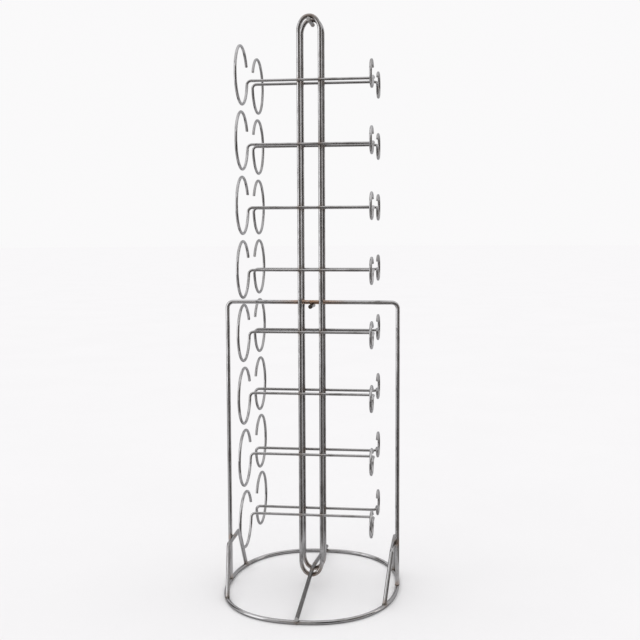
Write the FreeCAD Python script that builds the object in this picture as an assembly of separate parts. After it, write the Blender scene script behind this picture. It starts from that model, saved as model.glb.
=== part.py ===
import FreeCAD, Part

import math
import os

# A table-top wire rack for sixteen bottles lying on their sides, in millimetres.
# A stand (oval base ring, tall hoop, two gussets) carries a carousel (two tall
# loops, a wire across the base and sixteen hooks) that swivels a little.
# Frame: +X runs along the hoop's crossbar, +Y to the rear, +Z up. The origin is
# on the table, on the swivel axis at the middle of the base ring.

Vector = FreeCAD.Vector

# Wire
FRAME_WIRE = 6.0            # diameter of every frame, spine and base wire
HOOK_WIRE = 4.0             # diameter of the sixteen hooks
BED = 0.3                   # how deep a welded wire is set into the one it crosses
RUNNING_GAP = 0.4           # how high the cross wire's ends hang above the base ring
FRAME_PITCH = FRAME_WIRE - BED                    # axis to axis, two crossing frame wires
HOOK_PITCH = (FRAME_WIRE + HOOK_WIRE) / 2 - BED   # axis to axis, a hook on a frame wire

# Base ring: a squarish oval, longer from front to rear
RING_HALF_X = 127.0
RING_HALF_Y = 157.5
RING_SQUARENESS = 2.3       # exponent of the oval; 2 would be an ellipse
RING_LAND = 0.15            # depth of the flat worn along the underside
RING_POINTS = 64
RING_Z = FRAME_WIRE / 2 - RING_LAND
RING_TOP = RING_Z + FRAME_WIRE / 2

# Hoop and the stub under its crossbar
CROSSBAR_Z = 429.0
HOOP_BEND = 9.0
STUB_HALF = 17.0

# Gussets: one bent wire each side, from ring to hoop leg to ring
GUSSET_TOP_Z = 70.0
GUSSET_FRONT_FOOT_Y = -82.0
GUSSET_FRONT_CORNER_Y = -37.0
GUSSET_REAR_CORNER_Y = 35.0
GUSSET_REAR_FOOT_Y = 70.0
GUSSET_BEND = 7.0

# Spine: two upright loops, one before and one behind the crossbar
SPINE_HALF_GAP = 15.0       # each loop's distance from the swivel axis
LOOP_HALF_WIDTH = 15.5
LOOP_TOP_Z = 840.0
LOOP_BOTTOM_Z = 21.0
LOOP_CROWN_RADIUS = 13.0
LOOP_SHOULDER_RADIUS = 26.0
SHOULDER_TURN = math.acos((LOOP_SHOULDER_RADIUS - LOOP_HALF_WIDTH)
                          / (LOOP_SHOULDER_RADIUS - LOOP_CROWN_RADIUS))
ARCH_RISE = (LOOP_CROWN_RADIUS
             + (LOOP_SHOULDER_RADIUS - LOOP_CROWN_RADIUS) * math.sin(SHOULDER_TURN))
TIE_FRONT_Y = -21.0
TIE_REAR_Y = 24.0

# Wire across the base
CROSS_FLAT_HALF = 16.0
CROSS_BEND = 20.0
CROSS_HALF = 162.5

# Hooks: a big open ring for the bottle and a small one for its neck
TIERS = 8
LOWEST_SHAFT_Z = 113.4
TIER_PITCH = 90.9
HOOK_BEND = 6.0
BODY_RING_X = -90.0
BODY_RING_RADIUS = 40.0
BODY_RING_START = -12.0     # degrees; 0 faces the spine and the angle grows upward
BODY_RING_END = -336.0
NECK_RING_X = 93.5
NECK_RING_RADIUS = 18.0
NECK_RING_START = -16.5
NECK_RING_END = -325.0


SAME_POINT = 1e-4           # two points closer than this are one


def arc(first, middle, last):
    return Part.Arc(first, middle, last).toShape()


def add_line(edges, start, end):
    """Append a straight run, unless the two bends beside it already meet."""
    if start.distanceToPoint(end) > SAME_POINT:
        edges.append(Part.LineSegment(start, end).toShape())


def bent_path(corners, bend):
    """Straight runs through the corners, joined by tangent arcs."""
    edges = []
    start = corners[0]
    for before, corner, after in zip(corners, corners[1:], corners[2:]):
        back = (before - corner).normalize()
        ahead = (after - corner).normalize()
        half_angle = back.getAngle(ahead) / 2
        setback = bend / math.tan(half_angle)
        inward = (back + ahead).normalize()
        middle = corner + inward * (bend / math.sin(half_angle) - bend)
        arc_start = corner + back * setback
        arc_end = corner + ahead * setback
        add_line(edges, start, arc_start)
        edges.append(arc(arc_start, middle, arc_end))
        start = arc_end
    add_line(edges, start, corners[-1])
    return edges


def wire_length(edge, diameter):
    """The round wire along one straight or circular edge."""
    start = edge.valueAt(edge.FirstParameter)
    along = edge.tangentAt(edge.FirstParameter)
    disc = Part.Face(Part.Wire(Part.makeCircle(diameter / 2, start, along)))
    if isinstance(edge.Curve, Part.Circle):
        turn = math.degrees(edge.LastParameter - edge.FirstParameter)
        return disc.revolve(edge.Curve.Center, edge.Curve.Axis, turn)
    return disc.extrude(along * edge.Length)


def bent_wire(edges, diameter):
    """One solid wire along a chain of edges, cut square at its ends."""
    lengths = [wire_length(edge, diameter) for edge in edges]
    return lengths[0].multiFuse(lengths[1:]).Solids[0]


def bedded(wire, *others):
    """The wire with a saddle pressed in wherever it is welded to the others."""
    return wire.cut(list(others)).Solids[0]


def oval_power(angle):
    """Cosine and sine of an angle, raised to the oval's own power."""
    power = 2 / RING_SQUARENESS
    cosine = math.cos(angle)
    sine = math.sin(angle)
    return (math.copysign(abs(cosine) ** power, cosine),
            math.copysign(abs(sine) ** power, sine))


def ring_x(y):
    """Half the oval's width at a distance y from its middle."""
    rest = 1 - (abs(y) / RING_HALF_Y) ** RING_SQUARENESS
    return RING_HALF_X * rest ** (1 / RING_SQUARENESS)


def make_base_ring():
    points = []
    for step in range(RING_POINTS):
        across, along = oval_power(2 * math.pi * step / RING_POINTS)
        points.append(Vector(RING_HALF_X * across, RING_HALF_Y * along, RING_Z))
    curve = Part.BSplineCurve()
    curve.interpolate(Points=points, PeriodicFlag=True)
    path = Part.Wire(curve.toShape())
    profile = Part.Wire(Part.makeCircle(FRAME_WIRE / 2, points[0], Vector(0, 1, 0)))
    ring = path.makePipeShell([profile], True, False)
    corner = Vector(-2 * RING_HALF_X, -2 * RING_HALF_Y, -FRAME_WIRE)
    below_table = Part.makeBox(4 * RING_HALF_X, 4 * RING_HALF_Y, FRAME_WIRE, corner)
    return ring.cut(below_table).Solids[0]


def make_hoop(base_ring):
    foot_z = RING_TOP - BED
    corners = [
        Vector(-RING_HALF_X, 0, foot_z),
        Vector(-RING_HALF_X, 0, CROSSBAR_Z),
        Vector(RING_HALF_X, 0, CROSSBAR_Z),
        Vector(RING_HALF_X, 0, foot_z),
    ]
    return bedded(bent_wire(bent_path(corners, HOOP_BEND), FRAME_WIRE), base_ring)


def make_gusset(side, base_ring, hoop):
    """side is -1 for the left gusset and +1 for the right one."""
    foot_z = RING_TOP - BED
    top_x = side * (RING_HALF_X - FRAME_PITCH)
    corners = [
        Vector(side * ring_x(GUSSET_FRONT_FOOT_Y), GUSSET_FRONT_FOOT_Y, foot_z),
        Vector(top_x, GUSSET_FRONT_CORNER_Y, GUSSET_TOP_Z),
        Vector(top_x, GUSSET_REAR_CORNER_Y, GUSSET_TOP_Z),
        Vector(side * ring_x(GUSSET_REAR_FOOT_Y), GUSSET_REAR_FOOT_Y, foot_z),
    ]
    return bedded(bent_wire(bent_path(corners, GUSSET_BEND), FRAME_WIRE), base_ring, hoop)


def straight_along_y(front, rear, z):
    start = Vector(0, front, z)
    return Part.makeCylinder(FRAME_WIRE / 2, rear - front, start, Vector(0, 1, 0))


def arch_edges(y, base_z, upward):
    """A round-shouldered arch between the uprights; upward is +1 or -1."""
    shoulder_x = LOOP_HALF_WIDTH - LOOP_SHOULDER_RADIUS

    def on_shoulder(side, angle):
        x = shoulder_x + LOOP_SHOULDER_RADIUS * math.cos(angle)
        rise = LOOP_SHOULDER_RADIUS * math.sin(angle)
        return Vector(side * x, y, base_z + upward * rise)

    crown = Vector(0, y, base_z + upward * ARCH_RISE)
    shoulders = [
        [on_shoulder(side, part * SHOULDER_TURN) for part in (0, 0.5, 1)]
        for side in (-1, 1)
    ]
    return [
        arc(*shoulders[0]),
        arc(shoulders[0][2], crown, shoulders[1][2]),
        arc(*reversed(shoulders[1])),
    ]


def make_spine_loop(y):
    top_z = LOOP_TOP_Z - ARCH_RISE
    bottom_z = LOOP_BOTTOM_Z + ARCH_RISE
    edges = arch_edges(y, top_z, 1) + arch_edges(y, bottom_z, -1)
    for side in (-1, 1):
        x = side * LOOP_HALF_WIDTH
        add_line(edges, Vector(x, y, bottom_z), Vector(x, y, top_z))
    return bent_wire(edges, FRAME_WIRE)


def make_cross_wire(loops):
    """Raised flat over the loops' feet, sloping to rest across the base ring."""
    flat_z = LOOP_BOTTOM_Z + FRAME_PITCH
    ring_rest_z = RING_Z + FRAME_WIRE + RUNNING_GAP
    slope = (flat_z - ring_rest_z) / (RING_HALF_Y - CROSS_FLAT_HALF)
    end_z = flat_z - slope * (CROSS_HALF - CROSS_FLAT_HALF)
    corners = [
        Vector(0, -CROSS_HALF, end_z),
        Vector(0, -CROSS_FLAT_HALF, flat_z),
        Vector(0, CROSS_FLAT_HALF, flat_z),
        Vector(0, CROSS_HALF, end_z),
    ]
    return bedded(bent_wire(bent_path(corners, CROSS_BEND), FRAME_WIRE), *loops)


def ring_point(side, x, centre, radius, degrees):
    """A point on a hook's open ring; centre is (distance out from y = 0, z)."""
    angle = math.radians(degrees)
    out = centre[0] - radius * math.cos(angle)
    return Vector(x, side * out, centre[1] + radius * math.sin(angle))


def ring_heading(side, degrees):
    """Unit direction along an open ring with the angle falling."""
    angle = math.radians(degrees)
    return Vector(0, -side * math.sin(angle), -math.cos(angle))


def ring_arc(side, x, centre, radius, start, end):
    angles = (start, (start + end) / 2, end)
    return arc(*[ring_point(side, x, centre, radius, angle) for angle in angles])


def make_hook(side, shaft_z, loop):
    """One bent wire: body ring, shaft welded across the loop, arm, neck ring.

    side is -1 for a hook on the front loop and +1 for one on the rear loop.
    """
    shaft_out = SPINE_HALF_GAP + HOOK_PITCH
    body_angle = math.radians(BODY_RING_START)
    body_centre = (
        shaft_out + BODY_RING_RADIUS * math.cos(body_angle) - HOOK_BEND * math.sin(body_angle),
        shaft_z - BODY_RING_RADIUS * math.sin(body_angle) - HOOK_BEND * math.cos(body_angle),
    )
    neck_angle = math.radians(NECK_RING_START)
    neck_setback = HOOK_BEND * math.tan((math.pi / 2 + neck_angle) / 2)
    neck_centre = (
        body_centre[0],
        shaft_z - NECK_RING_RADIUS * math.sin(neck_angle) - neck_setback * math.cos(neck_angle),
    )
    body_start = ring_point(side, BODY_RING_X, body_centre, BODY_RING_RADIUS, BODY_RING_START)
    neck_start = ring_point(side, NECK_RING_X, neck_centre, NECK_RING_RADIUS, NECK_RING_START)
    neck_corner = neck_start - ring_heading(side, NECK_RING_START) * neck_setback
    corners = [
        body_start,
        Vector(BODY_RING_X, side * shaft_out, shaft_z),
        Vector(NECK_RING_X, side * shaft_out, shaft_z),
        neck_corner,
        neck_start,
    ]
    edges = bent_path(corners, HOOK_BEND)
    edges.append(ring_arc(side, BODY_RING_X, body_centre, BODY_RING_RADIUS,
                          BODY_RING_START, BODY_RING_END))
    edges.append(ring_arc(side, NECK_RING_X, neck_centre, NECK_RING_RADIUS,
                          NECK_RING_START, NECK_RING_END))
    return bedded(bent_wire(edges, HOOK_WIRE), loop)


base_ring = make_base_ring()
hoop = make_hoop(base_ring)
loops = {-1: make_spine_loop(-SPINE_HALF_GAP), 1: make_spine_loop(SPINE_HALF_GAP)}

parts = {
    "base_ring": base_ring,
    "frame_hoop": hoop,
    "gusset_left": make_gusset(-1, base_ring, hoop),
    "gusset_right": make_gusset(1, base_ring, hoop),
    "crossbar_stub": bedded(
        straight_along_y(-STUB_HALF, STUB_HALF, CROSSBAR_Z - FRAME_PITCH), hoop),
    "base_cross_wire": make_cross_wire(loops.values()),
    "spine_loop_front": loops[-1],
    "spine_loop_rear": loops[1],
    "spine_top_tie": bedded(
        straight_along_y(TIE_FRONT_Y, TIE_REAR_Y, LOOP_TOP_Z - FRAME_PITCH), *loops.values()),
}
for side, place in ((-1, "front"), (1, "rear")):
    for tier in range(TIERS):
        shaft_z = LOWEST_SHAFT_Z + TIER_PITCH * tier
        number = TIERS - tier
        parts[f"hook_{number}_{place}"] = make_hook(side, shaft_z, loops[side])

os.makedirs("parts", exist_ok=True)
for name, shape in parts.items():
    shape.exportStep(f"parts/{name}.step")
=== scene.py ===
import math
import random

import bpy
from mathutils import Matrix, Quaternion, Vector, noise


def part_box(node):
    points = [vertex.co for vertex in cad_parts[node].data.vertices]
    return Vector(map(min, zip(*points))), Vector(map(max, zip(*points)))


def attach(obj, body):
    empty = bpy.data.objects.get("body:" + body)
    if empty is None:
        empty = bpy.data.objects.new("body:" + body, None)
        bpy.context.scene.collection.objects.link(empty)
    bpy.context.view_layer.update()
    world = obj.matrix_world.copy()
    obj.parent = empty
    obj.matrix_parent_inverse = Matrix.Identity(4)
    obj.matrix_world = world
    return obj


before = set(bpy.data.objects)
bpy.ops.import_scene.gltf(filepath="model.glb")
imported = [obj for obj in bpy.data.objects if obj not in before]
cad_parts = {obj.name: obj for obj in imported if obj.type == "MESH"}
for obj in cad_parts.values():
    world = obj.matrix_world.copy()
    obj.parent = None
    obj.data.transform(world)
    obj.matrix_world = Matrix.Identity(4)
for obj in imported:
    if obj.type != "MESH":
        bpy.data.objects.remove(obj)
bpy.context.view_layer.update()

# Looks for the swivelling wire bottle rack: plated wire, weld flash, sheared
# wire ends, floor, light and camera. Metres, in the CAD frame: +X along the
# crossbar, +Y to the rear, +Z up, origin on the floor on the swivel axis.

random.seed(41)

# Sizes shared with the CAD model
FRAME_RADIUS = 0.003
HOOK_RADIUS = 0.002
BED = 0.0003
FRAME_PITCH = 2 * FRAME_RADIUS - BED
TIERS = 8
LOWEST_SHAFT = 0.1134
TIER_PITCH = 0.0909
SPINE_HALF_GAP = 0.015
LOOP_HALF_WIDTH = 0.0155
SHAFT_OUT = SPINE_HALF_GAP + FRAME_RADIUS + HOOK_RADIUS - BED
HOOK_BEND = 0.006
BODY_RING_X = -0.090
BODY_RING_RADIUS = 0.040
BODY_RING_ANGLES = (-12.0, -336.0)
NECK_RING_X = 0.0935
NECK_RING_RADIUS = 0.018
NECK_RING_ANGLES = (-16.5, -325.0)
CROSSBAR_Z = 0.429
RING_HALF_X = 0.127
RING_HALF_Y = 0.1575
RING_SQUARENESS = 2.3
GUSSET_FEET_Y = (-0.082, 0.070)
GUSSET_TOP_Z = 0.070
CROSS_FLAT_HALF = 0.016
CROSS_HALF = 0.1625
RUNNING_GAP = 0.0004
RINGS_FROM_X = 0.0865       # a hook's rings lie further from the middle than this
FOOT_Z = 0.006              # height of the welds on the base ring

body_start = math.radians(BODY_RING_ANGLES[0])
RING_OUT = (SHAFT_OUT + BODY_RING_RADIUS * math.cos(body_start)
            - HOOK_BEND * math.sin(body_start))
BODY_RISE = -BODY_RING_RADIUS * math.sin(body_start) - HOOK_BEND * math.cos(body_start)
neck_start = math.radians(NECK_RING_ANGLES[0])
neck_setback = HOOK_BEND * math.tan((math.pi / 2 + neck_start) / 2)
NECK_RISE = -NECK_RING_RADIUS * math.sin(neck_start) - neck_setback * math.cos(neck_start)

ring_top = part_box("base_ring")[1].z
loop_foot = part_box("spine_loop_front")[0].z
cross_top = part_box("base_cross_wire")[1].z
tie_low, tie_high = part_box("spine_top_tie")
stub_low, stub_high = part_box("crossbar_stub")


# ---------------------------------------------------------------- node helpers

class Nodes:
    """A short way to add and link shader nodes in one tree."""

    def __init__(self, tree):
        self.tree = tree

    def add(self, kind, **settings):
        node = self.tree.nodes.new(kind)
        for name, value in settings.items():
            setattr(node, name, value)
        return node

    def feed(self, socket, value):
        if isinstance(value, bpy.types.NodeSocket):
            self.tree.links.new(value, socket)
        else:
            socket.default_value = value

    def math(self, operation, first, second=0.0, third=0.0):
        node = self.add("ShaderNodeMath", operation=operation)
        for socket, value in zip(node.inputs, (first, second, third)):
            self.feed(socket, value)
        return node.outputs[0]

    def noise(self, vector, scale, detail=3.0, roughness=0.5):
        node = self.add("ShaderNodeTexNoise")
        self.feed(node.inputs["Vector"], vector)
        self.feed(node.inputs["Scale"], scale)
        self.feed(node.inputs["Detail"], detail)
        self.feed(node.inputs["Roughness"], roughness)
        return node.outputs["Fac"]

    def remap(self, value, low, high, to_low=0.0, to_high=1.0):
        node = self.add("ShaderNodeMapRange", interpolation_type="SMOOTHSTEP")
        for socket, number in zip(node.inputs, (value, low, high, to_low, to_high)):
            self.feed(socket, number)
        return node.outputs[0]

    def blend(self, factor, first, second):
        node = self.add("ShaderNodeMix", data_type="RGBA")
        self.feed(node.inputs[0], factor)
        self.feed(node.inputs[6], first)
        self.feed(node.inputs[7], second)
        return node.outputs[2]

    def combine(self, x, y, z):
        node = self.add("ShaderNodeCombineXYZ")
        for socket, value in zip(node.inputs, (x, y, z)):
            self.feed(socket, value)
        return node.outputs[0]

    def position(self):
        split = self.add("ShaderNodeSeparateXYZ")
        self.feed(split.inputs[0], self.object_position())
        return split.outputs

    def object_position(self):
        return self.add("ShaderNodeTexCoord").outputs["Object"]


def new_material(name):
    material = bpy.data.materials.new(name)
    material.use_nodes = True
    tree = material.node_tree
    return material, Nodes(tree), tree.nodes["Principled BSDF"]


def bump(nodes, height, strength, distance, normal=None):
    node = nodes.add("ShaderNodeBump")
    nodes.feed(node.inputs["Strength"], strength)
    nodes.feed(node.inputs["Distance"], distance)
    nodes.feed(node.inputs["Height"], height)
    if normal is not None:
        nodes.feed(node.inputs["Normal"], normal)
    return node.outputs[0]


# ------------------------------------------------------------------- materials

BRIGHT = (0.41, 0.405, 0.41, 1.0)
DULL = (0.21, 0.203, 0.197, 1.0)
SCALE_BROWN = (0.17, 0.11, 0.07, 1.0)
RUST_BROWN = (0.34, 0.215, 0.14, 1.0)
EDGE_TINT = (0.62, 0.62, 0.63, 1.0)


def plated_wire(name, grain, heat, tarnish_and_shade=0.0, stain=SCALE_BROWN):
    """Bright plated wire: drawn grain, dull patches, pits, browned at the welds.

    grain(nodes) gives the vector for the drawing lines, already stretched along
    the wire. heat(nodes) gives 1 at a weld, falling to 0 away from it. age is
    how far the plating is darkened all over, from 0 to 1: real tarnishing, and
    on the rear hooks painted shade as well. stain is the colour that the heat
    has left.
    """
    material, nodes, shader = new_material(name)
    here = nodes.object_position()
    lines = nodes.noise(grain(nodes), 1.0, 4.0, 0.6)
    patches = nodes.noise(here, 38.0, 4.0, 0.6)
    pits = nodes.noise(here, 900.0, 2.0, 0.5)
    smears = nodes.noise(here, 160.0, 3.0, 0.65)

    dull = nodes.remap(patches, 0.42, 0.72, 0.0, 0.75)
    dull = nodes.math("MAXIMUM", dull, nodes.remap(lines, 0.5, 0.8, 0.0, 0.3))
    dull = nodes.math("MAXIMUM", dull, nodes.remap(patches, 0.2, 0.55, 0.8 * tarnish_and_shade, tarnish_and_shade))
    # The dull colour darkened all over: real tarnishing, and on the rear hooks painted shade as
    # well.
    tarnish_and_shade_colour = tuple(part * (1 - 0.55 * tarnish_and_shade) for part in DULL[:3]) + (1.0,)
    plated = nodes.blend(dull, BRIGHT, tarnish_and_shade_colour)
    weld_heat = nodes.math("MULTIPLY", heat(nodes), nodes.remap(smears, 0.25, 0.6, 0.35, 1.0))
    specks = nodes.math("MULTIPLY", nodes.remap(pits, 0.68, 0.76), 0.55)
    browned = nodes.math("MAXIMUM", weld_heat, specks)
    nodes.feed(shader.inputs["Base Color"], nodes.blend(browned, plated, stain))
    shader.inputs["Metallic"].default_value = 1.0
    shader.inputs["Specular Tint"].default_value = EDGE_TINT

    rough = nodes.remap(smears, 0.3, 0.7, 0.08, 0.15)
    rough = nodes.math("ADD", rough, nodes.math("MULTIPLY", dull, 0.12))
    rough = nodes.math("ADD", rough, nodes.math("MULTIPLY", browned, 0.25))
    nodes.feed(shader.inputs["Roughness"], rough)
    grooves = bump(nodes, lines, 0.05, 0.00004)
    nodes.feed(shader.inputs["Normal"], bump(nodes, pits, 0.05, 0.00004, grooves))
    return material


# How fine the drawing lines are across a wire, along it, and round a turn of it
GRAIN_ACROSS = 1500.0
GRAIN_ALONG = 22.0
GRAIN_PER_HOOK_TURN = 0.9
GRAIN_PER_BASE_TURN = 3.0


def grain_along(axis):
    """Drawing lines that run along one axis of the frame."""
    stretch = [GRAIN_ACROSS, GRAIN_ACROSS, GRAIN_ACROSS]
    stretch[axis] = GRAIN_ALONG

    def grain(nodes):
        mapping = nodes.add("ShaderNodeMapping")
        mapping.inputs["Scale"].default_value = stretch
        nodes.feed(mapping.inputs["Vector"], nodes.object_position())
        return mapping.outputs[0]

    return grain


def ring_coordinates(nodes, first, second):
    """Distance from an axis and turn about it, from two offsets square to it."""
    radius = nodes.math("SQRT", nodes.math("ADD", nodes.math("MULTIPLY", first, first),
                                           nodes.math("MULTIPLY", second, second)))
    return radius, nodes.math("ARCTAN2", second, first)


def hook_grain(nodes):
    """Lines along X on a hook's shaft and round its axis on its two rings."""
    x, y, z = nodes.position()
    out = nodes.math("SUBTRACT", nodes.math("ABSOLUTE", y), RING_OUT)
    first_ring = LOWEST_SHAFT + BODY_RISE - TIER_PITCH / 2
    tier_z = nodes.math("MODULO", nodes.math("SUBTRACT", z, first_ring), TIER_PITCH)
    on_neck_side = nodes.math("GREATER_THAN", x, 0.0)
    neck_drop = nodes.math("MULTIPLY", on_neck_side, BODY_RISE - NECK_RISE)
    up = nodes.math("ADD", nodes.math("SUBTRACT", tier_z, TIER_PITCH / 2), neck_drop)
    radius, turn = ring_coordinates(nodes, out, up)
    shaft = nodes.combine(nodes.math("MULTIPLY", x, GRAIN_ALONG),
                          nodes.math("MULTIPLY", y, GRAIN_ACROSS),
                          nodes.math("MULTIPLY", z, GRAIN_ACROSS))
    ring = nodes.combine(nodes.math("MULTIPLY", x, GRAIN_ACROSS),
                         nodes.math("MULTIPLY", radius, GRAIN_ACROSS),
                         nodes.math("MULTIPLY", turn, GRAIN_PER_HOOK_TURN))
    on_ring = nodes.math("GREATER_THAN", nodes.math("ABSOLUTE", x), RINGS_FROM_X)
    mix = nodes.add("ShaderNodeMix", data_type="VECTOR")
    nodes.feed(mix.inputs[0], on_ring)
    nodes.feed(mix.inputs[4], shaft)
    nodes.feed(mix.inputs[5], ring)
    return mix.outputs[1]


def base_grain(nodes):
    """Lines round the swivel axis, for the base ring."""
    x, y, z = nodes.position()
    radius, turn = ring_coordinates(nodes, x, y)
    return nodes.combine(nodes.math("MULTIPLY", radius, GRAIN_ACROSS),
                         nodes.math("MULTIPLY", z, GRAIN_ACROSS),
                         nodes.math("MULTIPLY", turn, GRAIN_PER_BASE_TURN))


# How strongly the welds are browned, and the middle of a loop's browned foot
WELD_HEAT = 0.5
HOOK_WELD_HEAT = 0.45
LOOP_FOOT_GAIN = 1.6
LOOP_FOOT_HEAT_Z = 0.018


def near(nodes, value, centre, reach):
    """1 where value is at the centre, falling to 0 a reach away."""
    gap = nodes.math("ABSOLUTE", nodes.math("SUBTRACT", value, centre))
    return nodes.remap(gap, 0.0, reach, 1.0, 0.0)


def hook_heat(nodes):
    """Warm where the shaft crosses its loop's two uprights."""
    x = nodes.position()[0]
    at_loop = near(nodes, nodes.math("ABSOLUTE", x), LOOP_HALF_WIDTH, reach=0.0055)
    return nodes.math("MULTIPLY", at_loop, HOOK_WELD_HEAT)


def loop_heat(nodes):
    """Warm round each tier's shaft, and most of all round the foot."""
    z = nodes.position()[2]
    first = LOWEST_SHAFT - TIER_PITCH / 2
    tier_z = nodes.math("MODULO", nodes.math("SUBTRACT", z, first), TIER_PITCH)
    at_tier = near(nodes, tier_z, TIER_PITCH / 2, reach=0.0085)
    at_base = near(nodes, z, LOOP_FOOT_HEAT_Z, reach=0.030)
    at_base = nodes.math("MULTIPLY", at_base, LOOP_FOOT_GAIN)
    return nodes.math("MULTIPLY", nodes.math("MAXIMUM", at_tier, at_base), WELD_HEAT)


def hoop_heat(nodes):
    """Warm at the stub, the gusset tops and the feet."""
    x, y, z = nodes.position()
    on_crossbar = nodes.remap(z, CROSSBAR_Z - 0.019, CROSSBAR_Z - 0.004)
    at_stub = nodes.math("MULTIPLY", near(nodes, x, 0.0, reach=0.065), on_crossbar)
    at_gusset = near(nodes, z, GUSSET_TOP_Z, reach=0.009)
    at_foot = near(nodes, z, FOOT_Z, reach=0.010)
    low = nodes.math("MAXIMUM", at_gusset, at_foot)
    return nodes.math("MAXIMUM", at_stub, nodes.math("MULTIPLY", low, WELD_HEAT))


def ring_heat(nodes):
    """Warm where the hoop and the gussets stand and the cross wire rubs."""
    x, y, _ = nodes.position()
    at_front = near(nodes, y, GUSSET_FEET_Y[0], reach=0.009)
    at_rear = near(nodes, y, GUSSET_FEET_Y[1], reach=0.009)
    at_hoop = near(nodes, y, 0.0, reach=0.009)
    at_cross = near(nodes, x, 0.0, reach=0.008)
    sides = nodes.math("MAXIMUM", nodes.math("MAXIMUM", at_front, at_rear), at_hoop)
    return nodes.math("MULTIPLY", nodes.math("MAXIMUM", sides, at_cross), WELD_HEAT)


def gusset_heat(nodes):
    """Warm at the hoop's leg and at both feet."""
    _, y, z = nodes.position()
    at_leg = near(nodes, y, 0.0, reach=0.010)
    at_foot = near(nodes, z, FOOT_Z, reach=0.011)
    return nodes.math("MULTIPLY", nodes.math("MAXIMUM", at_leg, at_foot), WELD_HEAT)


def cross_heat(nodes):
    """Warm where a wire that runs front to rear meets the two loops."""
    y = nodes.position()[1]
    at_loop = near(nodes, nodes.math("ABSOLUTE", y), SPINE_HALF_GAP, reach=0.010)
    return nodes.math("MULTIPLY", at_loop, WELD_HEAT)


wire_looks = {
    "base_ring": plated_wire("base_ring_wire", base_grain, ring_heat, tarnish_and_shade=0.3),
    "frame_hoop": plated_wire("hoop_wire", grain_along(2), hoop_heat, stain=RUST_BROWN),
    "gusset_left": plated_wire("gusset_wire", grain_along(1), gusset_heat, tarnish_and_shade=0.35),
    "crossbar_stub": plated_wire("short_wire", grain_along(1), cross_heat, tarnish_and_shade=0.9),
    "base_cross_wire": plated_wire("cross_wire", grain_along(1), cross_heat, tarnish_and_shade=0.9),
    "spine_loop_front": plated_wire("loop_wire", grain_along(2), loop_heat),
    "hook_front": plated_wire("front_hook_wire", hook_grain, hook_heat, tarnish_and_shade=0.08),
    # Painted shade: the rear hooks' plating is darkened far more than the front hooks', standing
    # in for the dark, shaded reflections along the rear shafts.
    "hook_rear_painted_shade": plated_wire("rear_hook_wire_painted_shade", hook_grain, hook_heat, tarnish_and_shade=0.45),
}
wire_looks["gusset_right"] = wire_looks["gusset_left"]
wire_looks["spine_top_tie"] = wire_looks["crossbar_stub"]
wire_looks["spine_loop_rear"] = wire_looks["spine_loop_front"]

for name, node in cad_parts.items():
    if name.startswith("hook"):
        look = wire_looks["hook_rear_painted_shade" if name.endswith("rear") else "hook_front"]
    else:
        look = wire_looks[name]
    node.data.materials.clear()
    node.data.materials.append(look)


WELD_SCALE = (0.10, 0.085, 0.07, 1.0)
WELD_BRIGHT = (0.42, 0.41, 0.40, 1.0)
TORN_STRETCH = (2600.0, 2600.0, 700.0)


def weld_metal():
    """Dark, scaly weld flash with a few bright high spots."""
    material, nodes, shader = new_material("weld_flash")
    here = nodes.object_position()
    scale = nodes.noise(here, 700.0, 4.0, 0.65)
    ripples = nodes.noise(here, 1800.0, 2.0, 0.5)
    bright = nodes.remap(scale, 0.52, 0.7)
    nodes.feed(shader.inputs["Base Color"], nodes.blend(bright, WELD_SCALE, WELD_BRIGHT))
    shader.inputs["Metallic"].default_value = 0.9
    nodes.feed(shader.inputs["Roughness"], nodes.remap(scale, 0.3, 0.7, 0.6, 0.32))
    rough = bump(nodes, scale, 0.5, 0.0003)
    nodes.feed(shader.inputs["Normal"], bump(nodes, ripples, 0.3, 0.0001, rough))
    return material


def sheared_metal(name, clean, torn):
    """Bare sheared steel: a torn grain across the cut."""
    material, nodes, shader = new_material(name)
    mapping = nodes.add("ShaderNodeMapping")
    mapping.inputs["Scale"].default_value = TORN_STRETCH
    nodes.feed(mapping.inputs["Vector"], nodes.object_position())
    tears = nodes.noise(mapping.outputs[0], 1.0, 3.0, 0.6)
    nodes.feed(shader.inputs["Base Color"],
               nodes.blend(nodes.remap(tears, 0.35, 0.7), clean, torn))
    shader.inputs["Metallic"].default_value = 1.0
    nodes.feed(shader.inputs["Roughness"], nodes.remap(tears, 0.3, 0.7, 0.34, 0.55))
    nodes.feed(shader.inputs["Normal"], bump(nodes, tears, 0.5, 0.0002))
    return material


# -------------------------------------------------------------- small geometry

def axes_about(direction):
    """Two unit vectors square to a direction."""
    helper = Vector((0, 0, 1)) if abs(direction.z) < 0.9 else Vector((1, 0, 0))
    first = direction.cross(helper).normalized()
    return first, direction.cross(first).normalized()


def spokes(normal, count):
    """Each of count unit vectors all round a normal, with its angle."""
    along, sideways = axes_about(normal)
    for step in range(count):
        turn = 2 * math.pi * step / count
        yield turn, along * math.cos(turn) + sideways * math.sin(turn)


def random_seed():
    """Somewhere of its own in the noise, for one bead or cap."""
    return Vector([random.uniform(-50, 50) for _ in range(3)])


def shell_of_rings(rings, first_pole, last_pole):
    """Vertices and faces of a closed shell: rings of points between two poles."""
    count = len(rings[0])
    points = [first_pole] + [point for ring in rings for point in ring] + [last_pole]
    faces = []
    for step in range(count):
        following = (step + 1) % count
        faces.append((0, 1 + following, 1 + step))
        for level in range(len(rings) - 1):
            low = 1 + level * count
            high = low + count
            faces.append((low + step, low + following, high + following, high + step))
        top = 1 + (len(rings) - 1) * count
        faces.append((top + step, top + following, len(points) - 1))
    return points, faces


BEAD_LEVELS = 8
BEAD_SPOKES = 20
CAP_SPOKES = 24
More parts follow.
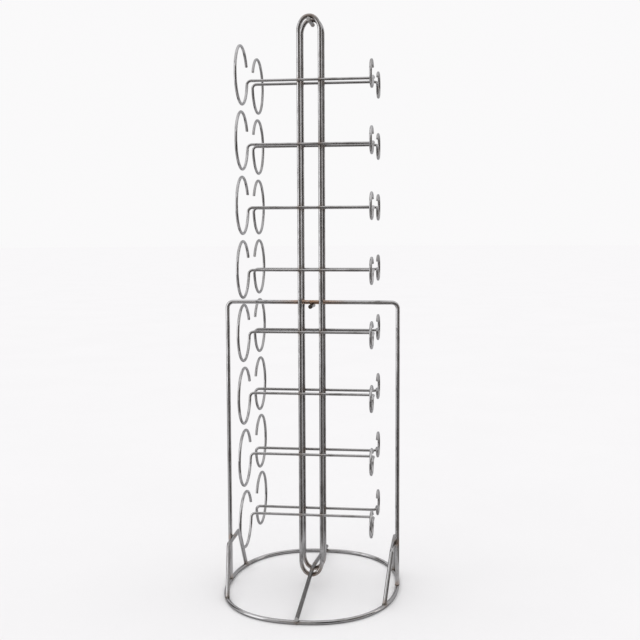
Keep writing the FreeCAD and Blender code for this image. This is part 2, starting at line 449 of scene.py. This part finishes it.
# Each ring of a cap: its share of the wire's radius, and its height over the cut
CAP_PROFILE = ((1.004, -0.00045), (1.035, -0.00012), (1.02, 0.00006), (0.9, 0.00016),
               (0.6, 0.00020), (0.25, 0.00022))
CAP_FOOT = 0.0006           # depth of a cap's lower pole inside the wire
CAP_TOP = 0.00022           # height of its upper pole over the cut


def weld_bead(centre, wire_a, wire_b, across, thickness):
    """A flattened, lumpy nugget squeezed out between two crossing wires."""
    normal = wire_a.cross(wire_b).normalized()
    seed = random_seed()
    rings = []
    for level in range(1, BEAD_LEVELS):
        latitude = math.pi * (level / BEAD_LEVELS - 0.5)
        ring = []
        for _, flat in spokes(normal, BEAD_SPOKES):
            lump = 1 + 0.16 * noise.noise(seed + flat * 1.7) + 0.07 * noise.noise(seed + flat * 5)
            ring.append(centre + flat * (across * lump * math.cos(latitude))
                        + normal * (thickness * math.sin(latitude)))
        rings.append(ring)
    return shell_of_rings(rings, centre - normal * thickness, centre + normal * thickness)


def end_cap(centre, direction, radius):
    """The sheared end of a wire: a burred rim and a slightly torn, sloping face."""
    seed = random_seed()
    tilt = random.uniform(0, 2 * math.pi)
    rings = []
    for share, rise in CAP_PROFILE:
        ring = []
        for turn, flat in spokes(direction, CAP_SPOKES):
            burr = 0.00008 * noise.noise(seed + flat * 2.5 + direction * rise * 9000)
            slope = 0.00012 * share * math.cos(turn - tilt) if rise > 0 else 0.0
            ring.append(centre + flat * (radius * share) + direction * (rise + burr + slope))
        rings.append(ring)
    return shell_of_rings(rings, centre - direction * CAP_FOOT, centre + direction * CAP_TOP)


def add_piece(name, body, material, shells):
    """One mesh object made of several closed shells, riding on a CAD body."""
    points = []
    faces = []
    for shell_points, shell_faces in shells:
        start = len(points)
        points.extend(shell_points)
        faces.extend([tuple(start + index for index in face) for face in shell_faces])
    mesh = bpy.data.meshes.new(name)
    mesh.from_pydata(points, [], faces)
    mesh.polygons.foreach_set("use_smooth", [True] * len(faces))
    mesh.materials.append(material)
    piece = bpy.data.objects.new(name, mesh)
    bpy.context.scene.collection.objects.link(piece)
    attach(piece, body)


# ------------------------------------------------------- weld flash and wire ends

X_AXIS = Vector((1, 0, 0))
Y_AXIS = Vector((0, 1, 0))
Z_AXIS = Vector((0, 0, 1))
SIDES = ((-1, "front"), (1, "rear"))
HOOK_BEAD = (0.0026, 0.0010)        # half the width and half the height of a weld
FRAME_BEAD = (0.0034, 0.0013)
FOOT_BEAD = (0.0037, 0.0014)
SEAT_DEPTH = 0.0004                 # how far a foot's weld sinks into the base ring
weld_look = weld_metal()
new_cut_look = sheared_metal("sheared_end", clean=(0.50, 0.50, 0.50, 1.0),
                             torn=(0.25, 0.24, 0.23, 1.0))
old_cut_look = sheared_metal("old_sheared_end", clean=(0.12, 0.11, 0.10, 1.0),
                             torn=(0.07, 0.055, 0.045, 1.0))


def shaft_heights():
    """The height of each tier's shafts, lowest first."""
    return [LOWEST_SHAFT + TIER_PITCH * tier for tier in range(TIERS)]


def loop_welds(side):
    """Flash at one loop: two beads a tier, one under the crown, one at the foot."""
    y = side * (SPINE_HALF_GAP + FRAME_RADIUS - BED / 2)
    beads = [weld_bead(Vector((x, y, z)), X_AXIS, Z_AXIS, *HOOK_BEAD)
             for z in shaft_heights() for x in (-LOOP_HALF_WIDTH, LOOP_HALF_WIDTH)]
    crown_z = (tie_low.z + tie_high.z) / 2 + FRAME_PITCH / 2
    foot_z = loop_foot + FRAME_RADIUS + FRAME_PITCH / 2
    for z in (crown_z, foot_z):
        beads.append(weld_bead(Vector((0, side * SPINE_HALF_GAP, z)),
                               X_AXIS, Y_AXIS, *FRAME_BEAD))
    return beads


def ring_x(y):
    """Half the base ring's width at a distance y from its middle."""
    rest = 1 - (abs(y) / RING_HALF_Y) ** RING_SQUARENESS
    return RING_HALF_X * rest ** (1 / RING_SQUARENESS)


def stand_welds():
    """Flash under the crossbar, at the gussets' tops and at every foot."""
    beads = [weld_bead(Vector((0, 0, CROSSBAR_Z - FRAME_PITCH / 2)),
                       X_AXIS, Y_AXIS, *FRAME_BEAD)]
    for side in (-1, 1):
        gusset_top = Vector((side * (RING_HALF_X - FRAME_PITCH / 2), 0, GUSSET_TOP_Z))
        beads.append(weld_bead(gusset_top, Y_AXIS, Z_AXIS, *FRAME_BEAD))
        for y in (*GUSSET_FEET_Y, 0.0):
            foot = Vector((side * ring_x(y), y, ring_top - SEAT_DEPTH))
            beads.append(weld_bead(foot, X_AXIS, Y_AXIS, *FOOT_BEAD))
    return beads


def ring_end(side, x, radius, centre_z, degrees):
    """Where a hook's open ring ends, and the way the wire points there."""
    angle = math.radians(degrees)
    point = Vector((x, side * (RING_OUT - radius * math.cos(angle)),
                    centre_z + radius * math.sin(angle)))
    return point, Vector((0, -side * math.sin(angle), -math.cos(angle)))


def hook_ends(side):
    """The cut ends of both rings, on every hook of one row."""
    caps = []
    for shaft_z in shaft_heights():
        for x, radius, rise, degrees in (
                (BODY_RING_X, BODY_RING_RADIUS, BODY_RISE, BODY_RING_ANGLES[1]),
                (NECK_RING_X, NECK_RING_RADIUS, NECK_RISE, NECK_RING_ANGLES[1])):
            point, heading = ring_end(side, x, radius, shaft_z + rise, degrees)
            caps.append(end_cap(point, heading, HOOK_RADIUS))
    return caps


def straight_ends(low, high):
    """Both ends of a straight wire along Y, from its box's two corners."""
    z = (low.z + high.z) / 2
    return [end_cap(Vector((0, low.y, z)), -Y_AXIS, FRAME_RADIUS),
            end_cap(Vector((0, high.y, z)), Y_AXIS, FRAME_RADIUS)]


def cross_wire_ends():
    """Both ends of the wire across the base, which slope down to the ring."""
    flat_z = cross_top - FRAME_RADIUS
    fall = flat_z - (ring_top + FRAME_RADIUS + RUNNING_GAP)
    slope = fall / (RING_HALF_Y - CROSS_FLAT_HALF)
    end_z = flat_z - slope * (CROSS_HALF - CROSS_FLAT_HALF)
    caps = []
    for side in (-1, 1):
        heading = Vector((0, side, -slope)).normalized()
        caps.append(end_cap(Vector((0, side * CROSS_HALF, end_z)), heading, FRAME_RADIUS))
    return caps


for side, place in SIDES:
    add_piece(f"weld_flash_{place}_loop", "carousel", weld_look, loop_welds(side))
add_piece("weld_flash_stand", "stand", weld_look, stand_welds())
for side, place in SIDES:
    add_piece(f"cut_ends_{place}_hooks", "carousel", new_cut_look, hook_ends(side))
add_piece("cut_ends_spine", "carousel", new_cut_look,
          cross_wire_ends() + straight_ends(tie_low, tie_high))
add_piece("cut_ends_stub", "stand", old_cut_look,
          straight_ends(stub_low, stub_high))


# --------------------------------------------------------- floor, light, camera

PAINT_DARK = (0.775, 0.77, 0.775, 1.0)
PAINT_LIGHT = (0.805, 0.80, 0.805, 1.0)


def floor_paint():
    """White matt paint, very slightly cloudy."""
    material, nodes, shader = new_material("floor_paint")
    here = nodes.object_position()
    clouds = nodes.noise(here, 3.0, 4.0, 0.55)
    tooth = nodes.noise(here, 260.0, 3.0, 0.6)
    nodes.feed(shader.inputs["Base Color"], nodes.blend(clouds, PAINT_DARK, PAINT_LIGHT))
    nodes.feed(shader.inputs["Roughness"], nodes.remap(tooth, 0.3, 0.7, 0.7, 0.85))
    shader.inputs["Specular IOR Level"].default_value = 0.0
    nodes.feed(shader.inputs["Normal"], bump(nodes, tooth, 0.08, 0.0006))
    return material


def add_card(name, corners, material):
    """One flat face in the scene that is no part of the object."""
    mesh = bpy.data.meshes.new(name)
    mesh.from_pydata(corners, [], [tuple(range(len(corners)))])
    mesh.materials.append(material)
    card = bpy.data.objects.new(name, mesh)
    bpy.context.scene.collection.objects.link(card)
    return card


FLOOR_RADIUS = 30.0
floor_rim = [(FLOOR_RADIUS * math.cos(math.radians(bearing)),
              FLOOR_RADIUS * math.sin(math.radians(bearing)), 0.0)
             for bearing in range(0, 360, 5)]
floor = add_card("floor", floor_rim, floor_paint())

# The softboxes light the rack but not the floor, which keeps the floor even.
not_the_floor = bpy.data.collections.new("all_but_the_floor")
not_the_floor.objects.link(floor)
not_the_floor.collection_objects[0].light_linking.link_state = "EXCLUDE"


def dark_cloth(name, shade, tint):
    """Matt cloth that goes slowly from one colour to another."""
    material, nodes, shader = new_material(name)
    weave = nodes.noise(nodes.object_position(), 2.2, 3.0, 0.6)
    nodes.feed(shader.inputs["Base Color"],
               nodes.blend(nodes.remap(weave, 0.35, 0.65), shade, tint))
    shader.inputs["Roughness"].default_value = 0.9
    return material


# Upright cloths on the camera's side, out of its sight, and rugs at their feet
# are mirrored as the dark bands along the wires. Each pair has its (first, last)
# bearing in degrees from -Y, the cloth's fabric and the rug's.
CLOTH_RADIUS = 2.4
CLOTH_HEIGHT = 1.9
RUG_RADIUS = 0.24           # where the rugs begin
RUG_Z = 0.002
black_cloth = dark_cloth("black_cloth", (0.008, 0.007, 0.006, 1.0), (0.04, 0.035, 0.03, 1.0))
brown_cloth = dark_cloth("brown_cloth", (0.10, 0.085, 0.07, 1.0), (0.26, 0.225, 0.19, 1.0))
grey_cloth = dark_cloth("grey_cloth", (0.36, 0.34, 0.32, 1.0), (0.60, 0.57, 0.54, 1.0))
CLOTHS = (
    (-24, 4, grey_cloth, black_cloth),
    (6, 44, black_cloth, black_cloth),
    (50, 84, brown_cloth, brown_cloth),
    (88, 104, black_cloth, black_cloth),
    (-128, -104, black_cloth, black_cloth),
)


def cloth_foot(bearing, radius):
    """The x and y of a place on the floor, from its bearing and distance."""
    turn = math.radians(bearing)
    return radius * math.sin(turn), -radius * math.cos(turn)


def add_cloth(name, corners, material):
    """A card that only the wires' reflections see."""
    cloth = add_card(name, corners, material)
    cloth.visible_camera = False
    cloth.visible_diffuse = False
    cloth.visible_shadow = False


for number, (first, last, fabric, rug_fabric) in enumerate(CLOTHS, 1):
    left = cloth_foot(first, CLOTH_RADIUS)
    right = cloth_foot(last, CLOTH_RADIUS)
    near_left = cloth_foot(first, RUG_RADIUS)
    near_right = cloth_foot(last, RUG_RADIUS)
    add_cloth(f"cloth_{number}",
              [(*left, 0.0), (*right, 0.0), (*right, CLOTH_HEIGHT), (*left, CLOTH_HEIGHT)],
              fabric)
    add_cloth(f"rug_{number}",
              [(*near_left, RUG_Z), (*near_right, RUG_Z), (*right, RUG_Z), (*left, RUG_Z)],
              rug_fabric)


def add_softbox(name, place, aim, size, power, colour):
    """An upright rectangle of light that leaves the floor alone."""
    light = bpy.data.lights.new(name, "AREA")
    light.shape = "RECTANGLE"
    light.size, light.size_y = size
    light.energy = power
    light.color = colour
    box = bpy.data.objects.new(name, light)
    bpy.context.scene.collection.objects.link(box)
    box.location = place
    box.rotation_mode = "QUATERNION"
    box.rotation_quaternion = (Vector(aim) - Vector(place)).to_track_quat("-Z", "Y")
    box.light_linking.receiver_collection = not_the_floor


LIGHT_Z = 0.95
add_softbox("window_left", place=(-1.9, -0.9, LIGHT_Z), aim=(0, 0, LIGHT_Z), size=(1.3, 1.9),
            power=15.0, colour=(0.97, 0.98, 1.0))
add_softbox("fill_right", place=(1.9, 0.6, LIGHT_Z), aim=(0, 0, LIGHT_Z), size=(0.35, 1.6),
            power=3.0, colour=(1.0, 0.97, 0.93))

SKY_POWER = 0.8
SKY_SPREAD = math.radians(100)
SKY_TILT = (math.radians(-14), math.radians(-12), 0)
ROOM_WHITE = (0.955, 0.95, 0.955, 1.0)
sky_light = bpy.data.lights.new("soft_sky", "SUN")
sky_light.energy = SKY_POWER
sky_light.angle = SKY_SPREAD
sky = bpy.data.objects.new("soft_sky", sky_light)
bpy.context.scene.collection.objects.link(sky)
sky.rotation_euler = SKY_TILT

world = bpy.data.worlds.new("pale_room")
world.use_nodes = True
background = world.node_tree.nodes["Background"]
background.inputs["Color"].default_value = ROOM_WHITE
background.inputs["Strength"].default_value = 1.0
bpy.context.scene.world = world
bpy.context.scene.view_settings.view_transform = "Standard"

CAMERA_BEARING = math.radians(8.06)
CAMERA_DISTANCE = 1.511
CAMERA_HEIGHT = 0.538
LOOK_BEARING = math.radians(7.605)
LOOK_DOWN = math.radians(5.127)
CAMERA_ROLL = math.radians(-0.236)
CAMERA_LENS = 57.67
SENSOR_WIDTH = 36.0
camera_data = bpy.data.cameras.new("camera")
camera_data.sensor_width = SENSOR_WIDTH
camera_data.lens = CAMERA_LENS
camera = bpy.data.objects.new("camera", camera_data)
bpy.context.scene.collection.objects.link(camera)
camera.location = (CAMERA_DISTANCE * math.sin(CAMERA_BEARING),
                   -CAMERA_DISTANCE * math.cos(CAMERA_BEARING), CAMERA_HEIGHT)
look = Vector((-math.sin(LOOK_BEARING) * math.cos(LOOK_DOWN),
               math.cos(LOOK_BEARING) * math.cos(LOOK_DOWN), -math.sin(LOOK_DOWN)))
camera.rotation_mode = "QUATERNION"
camera.rotation_quaternion = look.to_track_quat("-Z", "Y") @ Quaternion(Z_AXIS, CAMERA_ROLL)
bpy.context.scene.camera = camera
